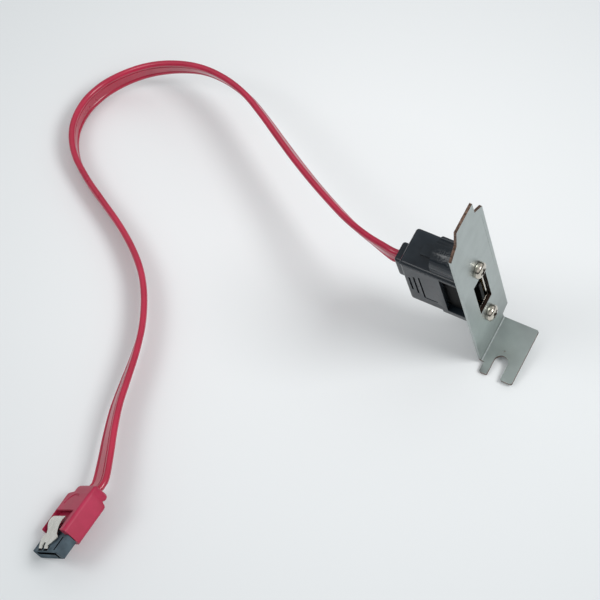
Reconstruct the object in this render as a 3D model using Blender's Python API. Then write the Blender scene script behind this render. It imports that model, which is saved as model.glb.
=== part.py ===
"""A low-profile slot bracket with an external drive socket, a flat cable and a latching plug.

The bracket and the plug are each drawn square to a frame of their own and then set down in the
pose in which the finished lead lies: the bracket stands on its folded tab, the cable runs on edge
and touches the surface in its left bend, and the plug lies on one of its long edges.
"""
import math

import bmesh
import bpy
from mathutils import Matrix, Vector

# All sizes are in metres.
MM = 0.001
FIT_GAP = 0.3 * MM

# How the bracket stands. Its frame has X across the plate, Y into the computer, Z up the plate,
# and its zero is where the plate's outer face meets the tab's upper face.
BRACKET_CORNER = (4.622 * MM, -4.67 * MM, 1.536 * MM)
BRACKET_HEADING_DEG = 60.25
BRACKET_PITCH_DEG = -4.93
BRACKET_ROLL_DEG = -13.45

# Bracket: one folded sheet
SHEET = 0.86 * MM
BEND_RADIUS = 0.5 * MM
BEND_STEPS = 4
PLATE_WIDTH = 18.42 * MM
SHOULDER_HEIGHT = 69.1 * MM
TONGUE_TOP = 77.5 * MM
TONGUE_ROOT_HEIGHT = 72.1 * MM
TONGUE_ROOT_LEFT = 4.0 * MM
TONGUE_TIP_LEFT = 5.4 * MM
TONGUE_RIGHT = 14.7 * MM
RELIEF_HEIGHT = 3.2 * MM
RELIEF_SLOPE = 0.9 * MM
TAB_LEFT = -3.4 * MM
TAB_RIGHT = 15.2 * MM
TAB_DEPTH = 11.5 * MM
TAB_CORNER_RADIUS = 0.6 * MM
NOTCH_WIDTH = 4.4 * MM
NOTCH_DEPTH = 7.2 * MM
NOTCH_CENTRE = 5.6 * MM
NOTCH_STEPS = 12
PIP_RADIUS = 0.35 * MM
PIP_DEPTH = 0.3 * MM
PIP_PAST_NOTCH = 1.3 * MM

# Socket opening and its two screws
OPENING_X = 9.15 * MM
OPENING_Z = 31.1 * MM
OPENING_WIDTH = 6.7 * MM
OPENING_HEIGHT = 17.8 * MM
SCREW_X = 9.35 * MM
SCREW_MID_Z = 31.2 * MM
SCREW_SPACING = 30.0 * MM
SCREW_SHANK_RADIUS = 1.45 * MM
SCREW_HEAD_RADIUS = 2.65 * MM
SCREW_HEAD_HEIGHT = 1.8 * MM
SCREW_LENGTH = 8.0 * MM
SCREW_RECESS_SPAN = 3.0 * MM
SCREW_RECESS_WIDTH = 0.75 * MM
SCREW_RECESS_DEPTH = 1.0 * MM
SCREW_STEPS = 24
INSERT_WALL = 0.75 * MM
INSERT_LENGTH = 7.5 * MM

# Black moulded body behind the plate
BODY_WIDTH = 11.8 * MM
BODY_HEIGHT = 25.2 * MM
BODY_DEPTH = 20.9 * MM
BODY_RADIUS = 1.0 * MM
FLANGE_RADIUS = 5.0 * MM
FLANGE_DEPTH = 11.2 * MM
COLLAR_WIDTH = 6.4 * MM
COLLAR_HEIGHT = 10.4 * MM
COLLAR_DEPTH = 4.2 * MM
COLLAR_RADIUS = 0.9 * MM
RIB_WIDTH = 3.2 * MM
RIB_OFFSET = 0.75 * MM
RIB_BEHIND_FLANGE = 2.0 * MM
RIB_LENGTH = 3.6 * MM
RIB_HEIGHT = 1.2 * MM
WINDOW_DEPTH = 8.5 * MM
WINDOW_RIM = 2.0 * MM
BLOCK_WALL = 0.6 * MM
BLOCK_DEPTH = 8.8 * MM
GROOVE_DEPTH = 0.45 * MM
GROOVE_WIDTH = 0.6 * MM
# Each upright groove: in from the back, then down and up from the screws' middle.
GROOVES = (
    (1.72 * MM, 4.6 * MM, 3.75 * MM),
    (3.38 * MM, 6.0 * MM, 5.25 * MM),
)
CORNER_GROOVE_WIDTH = 0.6 * MM
CORNER_GROOVE_BACK = 5.2 * MM
CORNER_GROOVE_FRONT = 9.6 * MM
CORNER_GROOVE_DOWN = 7.7 * MM
CORNER_GROOVE_UP = 6.3 * MM

# Metal shell, insulator tongue and its contacts
SHELL_WALL = 0.4 * MM
SHELL_START = 0.1 * MM
SHELL_DEPTH = 8.4 * MM
TONGUE_THICKNESS = 1.2 * MM
TONGUE_WIDTH = 10.8 * MM
TONGUE_FRONT = 0.3 * MM
CONTACT_COUNT = 7
CONTACT_PITCH = 1.27 * MM
CONTACT_WIDTH = 0.55 * MM
CONTACT_THICKNESS = 0.25 * MM
SOCKET_CONTACT_LENGTH = 5.2 * MM

# How the plug lies. Its frame has X across, Y back along the cable, Z out of the latch face,
# and its zero is the middle of the nose's front face.
PLUG_NOSE = (-117.579 * MM, -70.134 * MM, 6.591 * MM)
PLUG_HEADING_DEG = -31.8
PLUG_PITCH_DEG = 3.75
PLUG_ROLL_DEG = -48.1

NOSE_LEFT = -7.5 * MM
NOSE_RIGHT = 7.0 * MM
NOSE_TOP = 1.14 * MM
NOSE_BOTTOM = -1.96 * MM
NOSE_LENGTH = 6.0 * MM
NOSE_CHAMFER = 0.5 * MM
NECK_WIDTH = 11.2 * MM
NECK_LENGTH = 7.6 * MM
SLOT_LEFT = -5.8 * MM
SLOT_RIGHT = 5.4 * MM
SLOT_TOP = 0.66 * MM
SLOT_FLOOR = -0.25 * MM
SLOT_KEY_WIDTH = 1.2 * MM
SLOT_KEY_FLOOR = -1.5 * MM
SLOT_DEPTH = 5.4 * MM
PLUG_CONTACT_LENGTH = 4.4 * MM
PLUG_CONTACT_MID = -0.8 * MM

OVERMOULD_LEFT = -7.0 * MM
OVERMOULD_RIGHT = 6.9 * MM
OVERMOULD_THICKNESS = 6.6 * MM
OVERMOULD_LENGTH = 13.0 * MM
OVERMOULD_RADIUS = 0.9 * MM
PLUG_WAIST_LENGTH = 0.3 * MM
PLUG_WAIST_LEFT = -3.8 * MM
PLUG_WAIST_BOTTOM = -1.6 * MM
PLUG_COLLAR_LEFT = -4.1 * MM
PLUG_COLLAR_RIGHT = 6.6 * MM
PLUG_COLLAR_BOTTOM = -2.2 * MM
PLUG_COLLAR_TOP = 3.1 * MM
PLUG_COLLAR_LENGTH = 2.6 * MM
PLUG_NECK_WIDTH = 7.6 * MM
PLUG_NECK_THICKNESS = 4.2 * MM
PLUG_NECK_LENGTH = 0.4 * MM
LATCH_WINDOW_LEFT = -6.4 * MM
LATCH_WINDOW_RIGHT = 4.4 * MM
LATCH_WINDOW_LENGTH = 6.9 * MM
FINGER_ARC_X = -0.4 * MM
FINGER_ARC_Y = 14.4 * MM
FINGER_ARC_RADIUS = 3.9 * MM
FINGER_ARC_WIDTH = 0.5 * MM
FINGER_ARC_DEPTH = 0.35 * MM
FINGER_ARC_FROM_DEG = 35.0
FINGER_ARC_TO_DEG = 170.0

LATCH_X = -2.1 * MM
LATCH_SHEET = 0.3 * MM
LATCH_PIVOT_Y = 1.0 * MM
LATCH_PIVOT_Z = 1.1 * MM
PRONG_INNER = 0.65 * MM
PRONG_OUTER = 2.55 * MM
PRONG_TIP_Y = 0.8 * MM
PRONG_TIP_Z = 1.35 * MM
PRONG_BEND_Y = 1.5 * MM
PRONG_BEND_Z = 1.75 * MM
PRONG_POCKET_FLOOR = 0.95 * MM
# The clip from the prongs' root to the thumb pad: along Y, up Z, then its left and right edge,
# which bend aside together because the thumb pad sits left of the middle.
LATCH_STATIONS = (
    (2.5 * MM, 1.90 * MM, -5.25 * MM, 1.75 * MM),
    (3.8 * MM, 2.05 * MM, -5.5 * MM, 3.1 * MM),
    (4.7 * MM, 2.15 * MM, -5.5 * MM, 3.2 * MM),
    (5.4 * MM, 2.25 * MM, -4.4 * MM, 2.0 * MM),
    (6.3 * MM, 2.60 * MM, -4.3 * MM, 1.8 * MM),
    (7.3 * MM, 3.05 * MM, -4.8 * MM, 1.9 * MM),
    (8.3 * MM, 3.35 * MM, -5.3 * MM, 2.1 * MM),
    (9.3 * MM, 3.45 * MM, -5.5 * MM, 2.1 * MM),
    (10.2 * MM, 3.30 * MM, -5.5 * MM, 2.0 * MM),
    (10.9 * MM, 3.05 * MM, -5.4 * MM, 1.8 * MM),
)

# Flat cable
CABLE_WIDTH = 7.0 * MM
CABLE_THICKNESS = 2.0 * MM
CABLE_STEPS = 76
CABLE_BEVEL_STEPS = 2
CABLE_LEAD = 3.0 * MM
SOCKET_END_LEAN_DEG = 13.4
PLUG_END_LEAN_DEG = 41.9
# Route of the cable's middle between its two straight ends, from the socket to the plug, chosen
# by hand: X, Y and Z in millimetres, then how far the upper edge leans to the left of the way
# along, in degrees.
CABLE_ROUTE_MM = (
    (-28, 19.57, 28.82, 26),
    (-33.8, 27.57, 25.92, 28),
    (-39.1, 36.07, 23.72, 28),
    (-44.2, 44.57, 22.02, 28),
    (-49.3, 53.38, 20.82, 28),
    (-54.3, 62.38, 19.92, 27),
    (-59.3, 71.48, 19.12, 26),
    (-64.7, 80.28, 18.12, 26),
    (-71.3, 87.68, 16.82, 27),
    (-79, 93.38, 14.82, 25),
    (-87.6, 96.88, 11.82, 16),
    (-96.2, 98.18, 8.62, 8),
    (-104.2, 96.78, 6.02, 1),
    (-111, 92.98, 4.41, -6),
    (-116.2, 86.58, 3.67, -9),
    (-118.8, 77.68, 3.64, -10),
    (-117.8, 67.98, 3.64, -10),
    (-113.5, 58.67, 3.56, -13),
    (-108.1, 49.77, 3.92, -15),
    (-102.8, 40.97, 4.31, -14),
    (-98.5, 31.88, 4.81, -9),
    (-95.6, 22.78, 5.22, -3),
    (-94.5, 13.38, 5.52, 3),
    (-94.8, 3.67, 5.72, 8),
    (-96.5, -5.72, 6.02, 17),
    (-98.8, -14.73, 6.32, 24),
    (-100.9, -23.22, 6.62, 28),
    (-102.2, -31.72, 7.02, 32),
    (-103.1, -40.33, 7.42, 37),
)

# Angles that only set how fine a round is drawn
ROUND_STEPS = 32
BEVEL_STEPS = 3


def clear_scene():
    for item in list(bpy.data.objects):
        bpy.data.objects.remove(item, do_unlink=True)


def make_material(name, colour, roughness, metallic=0.0):
    """Return a Principled material of one colour."""
    material = bpy.data.materials.new(name)
    material.use_nodes = True
    shader = material.node_tree.nodes["Principled BSDF"]
    shader.inputs["Base Color"].default_value = (*colour, 1.0)
    shader.inputs["Roughness"].default_value = roughness
    shader.inputs["Metallic"].default_value = metallic
    material.diffuse_color = (*colour, 1.0)
    return material


def make_frame(name, place, heading, pitch, roll):
    """Return an empty that carries one assembly: rolled about Y, pitched about X, then turned."""
    frame = bpy.data.objects.new(name, None)
    bpy.context.scene.collection.objects.link(frame)
    frame.rotation_mode = "YXZ"
    frame.rotation_euler = (math.radians(pitch), math.radians(roll), math.radians(heading))
    frame.location = place
    return frame


def add_object(name, bm, material, frame, place=(0.0, 0.0, 0.0)):
    """Turn a bmesh drawn in the frame's axes into a named object carried by the frame."""
    bmesh.ops.recalc_face_normals(bm, faces=bm.faces[:])
    mesh = bpy.data.meshes.new(name)
    bm.to_mesh(mesh)
    bm.free()
    mesh.materials.append(material)
    item = bpy.data.objects.new(name, mesh)
    bpy.context.scene.collection.objects.link(item)
    item.parent = frame
    item.location = place
    return item


def as_guide(item):
    """Keep a cutter or an added piece out of the finished model."""
    item.hide_render = True
    item.display_type = "WIRE"
    return item


def combine(target, other, operation):
    """Cut the other shape out of the target, or weld it on."""
    modifier = target.modifiers.new(other.name, "BOOLEAN")
    modifier.operation = operation
    modifier.solver = "EXACT"
    modifier.object = as_guide(other)


def smooth(item, angle_deg=35.0):
    """Shade rounds smooth and keep real edges sharp."""
    item.data.shade_smooth()
    item.data.set_sharp_from_angle(angle=math.radians(angle_deg))


def add_box(bm, xs, ys, zs):
    """Add a cuboid between two X, two Y and two Z values and return its faces' vertices."""
    low = Vector((xs[0], ys[0], zs[0]))
    high = Vector((xs[1], ys[1], zs[1]))
    size = high - low
    place = Matrix.Translation((low + high) / 2) @ Matrix.Diagonal((*size, 1.0))
    return bmesh.ops.create_cube(bm, size=1.0, matrix=place)["verts"]


def round_edges_along(bm, axis, radius, steps=BEVEL_STEPS):
    """Round every edge that runs along one axis, 0 for X, 1 for Y, 2 for Z."""
    edges = []
    for edge in bm.edges:
        way = (edge.verts[1].co - edge.verts[0].co).normalized()
        if abs(way[axis]) > 0.999:
            edges.append(edge)
    bmesh.ops.bevel(bm, geom=edges, offset=radius, segments=steps, profile=0.5, affect="EDGES")


def rounded_box(xs, ys, zs, radius, axes=(1,)):
    """Return a bmesh cuboid whose edges along the given axes are rounded."""
    bm = bmesh.new()
    add_box(bm, xs, ys, zs)
    for axis in axes:
        round_edges_along(bm, axis, radius)
    return bm


def add_prism(bm, outline, ys):
    """Add an outline of X and Z points drawn out between two Y values."""
    near = [bm.verts.new((x, ys[0], z)) for x, z in outline]
    face = bm.faces.new(near)
    grown = bmesh.ops.extrude_face_region(bm, geom=[face])
    far = [item for item in grown["geom"] if isinstance(item, bmesh.types.BMVert)]
    bmesh.ops.translate(bm, verts=far, vec=(0.0, ys[1] - ys[0], 0.0))


def arc_points(centre, radius, start_deg, end_deg, steps):
    """Return points on an arc as pairs, both ends included."""
    points = []
    for step in range(steps + 1):
        angle = math.radians(start_deg + (end_deg - start_deg) * step / steps)
        points.append((centre[0] + radius * math.cos(angle), centre[1] + radius * math.sin(angle)))
    return points


def add_rod(bm, x, z, radius, ys, steps=ROUND_STEPS):
    """Add a round bar along Y."""
    add_prism(bm, arc_points((x, z), radius, 0.0, 360.0 * (steps - 1) / steps, steps - 1), ys)


def turned(profile, x, z, steps):
    """Return a bmesh turned about a line along Y through X and Z; profile points are radius, Y."""
    bm = bmesh.new()
    verts = [bm.verts.new((x + radius, y, z)) for radius, y in profile]
    edges = [bm.edges.new(pair) for pair in zip(verts, verts[1:])]
    bmesh.ops.spin(bm, geom=verts + edges, cent=(x, 0.0, z), axis=(0.0, 1.0, 0.0),
                   angle=math.tau, steps=steps, use_merge=True)
    bmesh.ops.remove_doubles(bm, verts=bm.verts[:], dist=1e-7)
    return bm


def pillow_box(xs, ys, zs, radius):
    """Return a bmesh cuboid with all twelve edges rounded."""
    bm = bmesh.new()
    add_box(bm, xs, ys, zs)
    bmesh.ops.bevel(bm, geom=bm.edges[:], offset=radius, segments=BEVEL_STEPS, profile=0.5,
                    affect="EDGES")
    return bm


def screw_places():
    """Return the height of the upper and the lower screw."""
    return (("upper", SCREW_MID_Z + SCREW_SPACING / 2), ("lower", SCREW_MID_Z - SCREW_SPACING / 2))


def span(middle, width):
    """Return the two ends of a width about its middle."""
    return (middle - width / 2, middle + width / 2)


def contact_places(middle):
    """Return the contacts' middles, one pitch apart."""
    first = middle - CONTACT_PITCH * (CONTACT_COUNT - 1) / 2
    return [first + CONTACT_PITCH * index for index in range(CONTACT_COUNT)]


def plate_outline():
    """Return the plate's outline above the bend as X and Z points."""
    return [
        (0.0, BEND_RADIUS),
        (TAB_RIGHT, BEND_RADIUS),
        (TAB_RIGHT, RELIEF_HEIGHT - RELIEF_SLOPE),
        (PLATE_WIDTH, RELIEF_HEIGHT),
        (PLATE_WIDTH, SHOULDER_HEIGHT),
        (TONGUE_RIGHT, TONGUE_ROOT_HEIGHT),
        (TONGUE_RIGHT, TONGUE_TOP),
        (TONGUE_TIP_LEFT, TONGUE_TOP),
        (TONGUE_ROOT_LEFT, TONGUE_ROOT_HEIGHT),
        (0.0, SHOULDER_HEIGHT),
    ]


def tab_outline():
    """Return the tab's outline from the bend outwards as X and distance from the plate."""
    notch_radius = NOTCH_WIDTH / 2
    notch_end = TAB_LEFT + NOTCH_DEPTH - notch_radius
    corner = TAB_CORNER_RADIUS
    points = [(TAB_RIGHT, BEND_RADIUS), (0.0, BEND_RADIUS)]
    points += arc_points((TAB_LEFT + corner, BEND_RADIUS + corner), corner, 270.0, 180.0, 4)
    near_ear = NOTCH_CENTRE - notch_radius
    points += arc_points((TAB_LEFT + corner / 2, near_ear - corner / 2), corner / 2, 180.0, 90.0, 3)
    points += arc_points((notch_end, NOTCH_CENTRE), notch_radius, -90.0, 90.0, NOTCH_STEPS)
    far_ear = NOTCH_CENTRE + notch_radius
    points += arc_points((TAB_LEFT + corner / 2, far_ear + corner / 2), corner / 2, 270.0, 180.0, 3)
    points += arc_points((TAB_LEFT + corner, TAB_DEPTH - corner), corner, 180.0, 90.0, 4)
    points += arc_points((TAB_RIGHT - corner, TAB_DEPTH - corner), corner, 90.0, 0.0, 4)
    return points


def build_bracket(frame, steel):
    """Fold the bracket from one sheet and pierce it."""
    bm = bmesh.new()
    plate = [bm.verts.new((x, 0.0, z)) for x, z in plate_outline()]
    bm.faces.new(plate)
    tab = [bm.verts.new((x, -out, 0.0)) for x, out in tab_outline()]
    bm.faces.new(tab)
    rows = [(plate[0], plate[1])]
    for step in range(1, BEND_STEPS):
        angle = math.radians(90.0 * step / BEND_STEPS)
        out = BEND_RADIUS * (1 - math.cos(angle))
        up = BEND_RADIUS * (1 - math.sin(angle))
        rows.append((bm.verts.new((0.0, -out, up)), bm.verts.new((TAB_RIGHT, -out, up))))
    rows.append((tab[1], tab[0]))
    for above, below in zip(rows, rows[1:]):
        bm.faces.new((above[0], above[1], below[1], below[0]))
    bracket = add_object("bracket", bm, steel, frame)
    if bracket.data.polygons[0].normal.y > 0:
        bracket.data.flip_normals()
    sheet = bracket.modifiers.new("sheet", "SOLIDIFY")
    sheet.thickness = SHEET
    sheet.offset = -1.0
    sheet.use_even_offset = True

    through = (-SHEET, 2 * SHEET)
    cuts = bmesh.new()
    add_box(cuts, span(OPENING_X, OPENING_WIDTH), through, span(OPENING_Z, OPENING_HEIGHT))
    for _, height in screw_places():
        add_rod(cuts, SCREW_X, height, SCREW_SHANK_RADIUS + FIT_GAP, through, SCREW_STEPS)
    combine(bracket, add_object("bracket_cuts", cuts, steel, frame), "DIFFERENCE")

    pip = bmesh.new()
    pip_x = TAB_LEFT + NOTCH_DEPTH + PIP_PAST_NOTCH
    place = Matrix.Translation((pip_x, -NOTCH_CENTRE, 0.0))
    bmesh.ops.create_cone(pip, cap_ends=True, segments=8, radius1=PIP_RADIUS, radius2=PIP_RADIUS,
                          depth=2 * PIP_DEPTH, matrix=place)
    combine(bracket, add_object("bracket_pip_cut", pip, steel, frame), "DIFFERENCE")
    return bracket


def build_screw(name, height, frame, metal):
    """Turn one pan-head screw and cut its cross recess."""
    seat = -FIT_GAP
    top = seat - SCREW_HEAD_HEIGHT
    shoulder = 0.45 * SCREW_HEAD_HEIGHT
    end = seat + SCREW_LENGTH
    lead = 0.4 * SCREW_SHANK_RADIUS
    profile = [(0.0, top)]
    dome = arc_points((0.0, 0.0), 1.0, 72.0, 8.0, 5)
    for across, up in dome:
        profile.append((SCREW_HEAD_RADIUS * across, seat - shoulder - (SCREW_HEAD_HEIGHT - shoulder) * up))
    profile += [
        (SCREW_HEAD_RADIUS, seat - 0.15 * SCREW_HEAD_HEIGHT),
        (SCREW_HEAD_RADIUS * 0.96, seat),
        (SCREW_SHANK_RADIUS, seat),
        (SCREW_SHANK_RADIUS, end - lead),
        (SCREW_SHANK_RADIUS - lead, end),
        (0.0, end),
    ]
    screw = add_object(name, turned(profile, SCREW_X, height, SCREW_STEPS), metal, frame)
    smooth(screw)
    cross = bmesh.new()
    half = SCREW_RECESS_SPAN / 2
    arm = SCREW_RECESS_WIDTH / 2
    corners = [(half, -arm), (half, arm), (arm, arm), (arm, half), (-arm, half), (-arm, arm),
               (-half, arm), (-half, -arm), (-arm, -arm), (-arm, -half), (arm, -half), (arm, -arm)]
    outline = [(SCREW_X + x, height + z) for x, z in corners]
    add_prism(cross, outline, (top - SCREW_HEAD_HEIGHT, top + SCREW_RECESS_DEPTH))
    combine(screw, add_object(name + "_cross_cut", cross, metal, frame), "DIFFERENCE")
    return screw


def build_insert(name, height, frame, brass):
    """Make one threaded insert that the screw runs into."""
    inner = SCREW_SHANK_RADIUS + FIT_GAP
    outer = inner + INSERT_WALL
    start = SHEET + FIT_GAP
    end = start + INSERT_LENGTH
    profile = [(inner, start), (outer, start), (outer, end), (inner, end), (inner, start)]
    insert = add_object(name, turned(profile, SCREW_X, height, SCREW_STEPS), brass, frame)
    smooth(insert)
    return insert


def build_socket_body(frame, plastic):
    """Mould the black body: box, rounded flange, cable collar, windows and pockets."""
    front = SHEET + FIT_GAP
    back = front + BODY_DEPTH
    body_xs = span(SCREW_X, BODY_WIDTH)
    body_zs = span(SCREW_MID_Z, BODY_HEIGHT)
    body = add_object("socket_body", pillow_box(body_xs, (front, back), body_zs, BODY_RADIUS),
                      plastic, frame)

    upper = SCREW_MID_Z + SCREW_SPACING / 2
    lower = SCREW_MID_Z - SCREW_SPACING / 2
    outline = arc_points((SCREW_X, upper), FLANGE_RADIUS, 0.0, 180.0, ROUND_STEPS // 2)
    outline += arc_points((SCREW_X, lower), FLANGE_RADIUS, 180.0, 360.0, ROUND_STEPS // 2)
    flange = bmesh.new()
    add_prism(flange, outline, (front, front + FLANGE_DEPTH))
    combine(body, add_object("socket_body_flange", flange, plastic, frame), "UNION")

    collar_ys = (back - 2 * COLLAR_RADIUS, back + COLLAR_DEPTH)
    collar = pillow_box(span(SCREW_X, COLLAR_WIDTH), collar_ys, span(SCREW_MID_Z, COLLAR_HEIGHT),
                        COLLAR_RADIUS)
    combine(body, add_object("socket_body_collar", collar, plastic, frame), "UNION")

    rib = bmesh.new()
    rib_start = front + FLANGE_DEPTH + RIB_BEHIND_FLANGE
    add_box(rib, span(SCREW_X + RIB_OFFSET, RIB_WIDTH), (rib_start, rib_start + RIB_LENGTH),
            (body_zs[1] - BODY_RADIUS, body_zs[1] + RIB_HEIGHT))
    combine(body, add_object("socket_body_rib", rib, plastic, frame), "UNION")

    pocket = bmesh.new()
    add_box(pocket, span(OPENING_X, OPENING_WIDTH + 2 * BLOCK_WALL + 2 * FIT_GAP),
            (front - SHEET, front + BLOCK_DEPTH + FIT_GAP),
            span(OPENING_Z, OPENING_HEIGHT + 2 * BLOCK_WALL + 2 * FIT_GAP))
    combine(body, add_object("socket_body_pocket_cut", pocket, plastic, frame), "DIFFERENCE")

    window = bmesh.new()
    add_box(window, span(SCREW_X, 2 * BODY_WIDTH), (front - SHEET, front + WINDOW_DEPTH),
            span(SCREW_MID_Z, BODY_HEIGHT - 2 * WINDOW_RIM))
    combine(body, add_object("socket_body_window_cut", window, plastic, frame), "DIFFERENCE")

    fine = bmesh.new()
    insert_radius = SCREW_SHANK_RADIUS + FIT_GAP + INSERT_WALL + FIT_GAP
    for _, height in screw_places():
        add_rod(fine, SCREW_X, height, insert_radius, (front - SHEET, front + INSERT_LENGTH + FIT_GAP),
                SCREW_STEPS)
    left = body_xs[0]
    deep = (left - GROOVE_DEPTH, left + GROOVE_DEPTH)
    for inward, down, up in GROOVES:
        add_box(fine, deep, (back - inward - GROOVE_WIDTH, back - inward),
                (SCREW_MID_Z - down, SCREW_MID_Z + up))
    combine(body, add_object("socket_body_bore_cut", fine, plastic, frame), "DIFFERENCE")

    corner = bmesh.new()
    corner_back = back - CORNER_GROOVE_BACK
    corner_front = back - CORNER_GROOVE_FRONT
    low = SCREW_MID_Z - CORNER_GROOVE_DOWN
    high = SCREW_MID_Z + CORNER_GROOVE_UP
    line = CORNER_GROOVE_WIDTH
    outline = [(corner_back, high), (corner_back, low), (corner_front, low),
               (corner_front, low + line), (corner_back - line, low + line), (corner_back - line, high)]
    near = [corner.verts.new((deep[0], y, z)) for y, z in outline]
    grown = bmesh.ops.extrude_face_region(corner, geom=[corner.faces.new(near)])
    far = [item for item in grown["geom"] if isinstance(item, bmesh.types.BMVert)]
    bmesh.ops.translate(corner, verts=far, vec=(deep[1] - deep[0], 0.0, 0.0))
    combine(body, add_object("socket_body_corner_cut", corner, plastic, frame), "DIFFERENCE")
    return body


def build_receptacle(frame, plastic, metal, gold):
    """Make the insulator block with its tongue, the metal shell around it and the contacts."""
    front = SHEET + FIT_GAP
    back = front + BLOCK_DEPTH
    cavity_end = SHELL_START + SHELL_DEPTH + FIT_GAP
    block = bmesh.new()
    add_box(block, span(OPENING_X, OPENING_WIDTH + 2 * BLOCK_WALL), (front, back),
            span(OPENING_Z, OPENING_HEIGHT + 2 * BLOCK_WALL))
    block = add_object("receptacle_block", block, plastic, frame)
    cavity = bmesh.new()
    add_box(cavity, span(OPENING_X, OPENING_WIDTH), (-SHEET, cavity_end), span(OPENING_Z, OPENING_HEIGHT))
    combine(block, add_object("receptacle_cavity_cut", cavity, plastic, frame), "DIFFERENCE")
    tongue = bmesh.new()
    add_box(tongue, span(OPENING_X, TONGUE_THICKNESS), (TONGUE_FRONT, cavity_end + FIT_GAP),
            span(OPENING_Z, TONGUE_WIDTH))
    combine(block, add_object("receptacle_tongue", tongue, plastic, frame), "UNION")

    outer_x = OPENING_WIDTH - 2 * FIT_GAP
    outer_z = OPENING_HEIGHT - 2 * FIT_GAP
    shell = rounded_box(span(OPENING_X, outer_x), (SHELL_START, SHELL_START + SHELL_DEPTH),
                        span(OPENING_Z, outer_z), SHELL_WALL)
    shell = add_object("socket_shell", shell, metal, frame)
    bore = bmesh.new()
    add_box(bore, span(OPENING_X, outer_x - 2 * SHELL_WALL), (-SHEET, SHELL_START + SHELL_DEPTH + SHEET),
            span(OPENING_Z, outer_z - 2 * SHELL_WALL))
    combine(shell, add_object("socket_shell_cut", bore, metal, frame), "DIFFERENCE")

    near_face = OPENING_X + TONGUE_THICKNESS / 2 + FIT_GAP
    start = TONGUE_FRONT + 2 * FIT_GAP
    for index, height in enumerate(contact_places(OPENING_Z), start=1):
        contact = bmesh.new()
        add_box(contact, (near_face, near_face + CONTACT_THICKNESS),
                (start, start + SOCKET_CONTACT_LENGTH), span(height, CONTACT_WIDTH))
        add_object("socket_contact_%d" % index, contact, gold, frame)


def build_plug_housing(frame, plastic):
    """Make the plug's hard nose with its keyed slot and the neck inside the overmould."""
    chamfer = NOSE_CHAMFER
    outline = [(NOSE_LEFT, NOSE_BOTTOM + chamfer), (NOSE_LEFT + chamfer, NOSE_BOTTOM),
               (NOSE_RIGHT, NOSE_BOTTOM), (NOSE_RIGHT, NOSE_TOP), (NOSE_LEFT, NOSE_TOP)]
    nose = bmesh.new()
    add_prism(nose, outline, (0.0, NOSE_LENGTH - FIT_GAP))
    housing = add_object("plug_housing", nose, plastic, frame)
    neck = bmesh.new()
    add_box(neck, span(0.0, NECK_WIDTH), (NOSE_LENGTH - 4 * FIT_GAP, NOSE_LENGTH + NECK_LENGTH),
            (NOSE_BOTTOM + FIT_GAP, NOSE_TOP - FIT_GAP))
    combine(housing, add_object("plug_housing_neck", neck, plastic, frame), "UNION")

    slot = bmesh.new()
    key_left = SLOT_RIGHT - SLOT_KEY_WIDTH
    outline = [(SLOT_LEFT, SLOT_TOP), (SLOT_LEFT, SLOT_FLOOR), (key_left, SLOT_FLOOR),
               (key_left, SLOT_KEY_FLOOR), (SLOT_RIGHT, SLOT_KEY_FLOOR), (SLOT_RIGHT, SLOT_TOP)]
    add_prism(slot, outline, (-NOSE_CHAMFER, SLOT_DEPTH))
    combine(housing, add_object("plug_housing_slot_cut", slot, plastic, frame), "DIFFERENCE")

    pockets = bmesh.new()
    for side in (-1, 1):
        inner = LATCH_X + side * (PRONG_INNER - FIT_GAP)
        outer = LATCH_X + side * (PRONG_OUTER + FIT_GAP)
        add_box(pockets, sorted((inner, outer)),
                (PRONG_TIP_Y - LATCH_SHEET - FIT_GAP, PRONG_BEND_Y + FIT_GAP),
                (PRONG_POCKET_FLOOR, NOSE_TOP + FIT_GAP))
    combine(housing, add_object("plug_housing_pocket_cut", pockets, plastic, frame), "DIFFERENCE")
    return housing


def build_plug_contacts(frame, gold):
    """Lay the plug's contacts on the slot's floor."""
    start = SLOT_DEPTH - FIT_GAP - PLUG_CONTACT_LENGTH
    low = SLOT_FLOOR + FIT_GAP
    for index, across in enumerate(contact_places(PLUG_CONTACT_MID), start=1):
        contact = bmesh.new()
        add_box(contact, span(across, CONTACT_WIDTH), (start, start + PLUG_CONTACT_LENGTH),
                (low, low + CONTACT_THICKNESS))
        add_object("plug_contact_%d" % index, contact, gold, frame)


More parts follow.
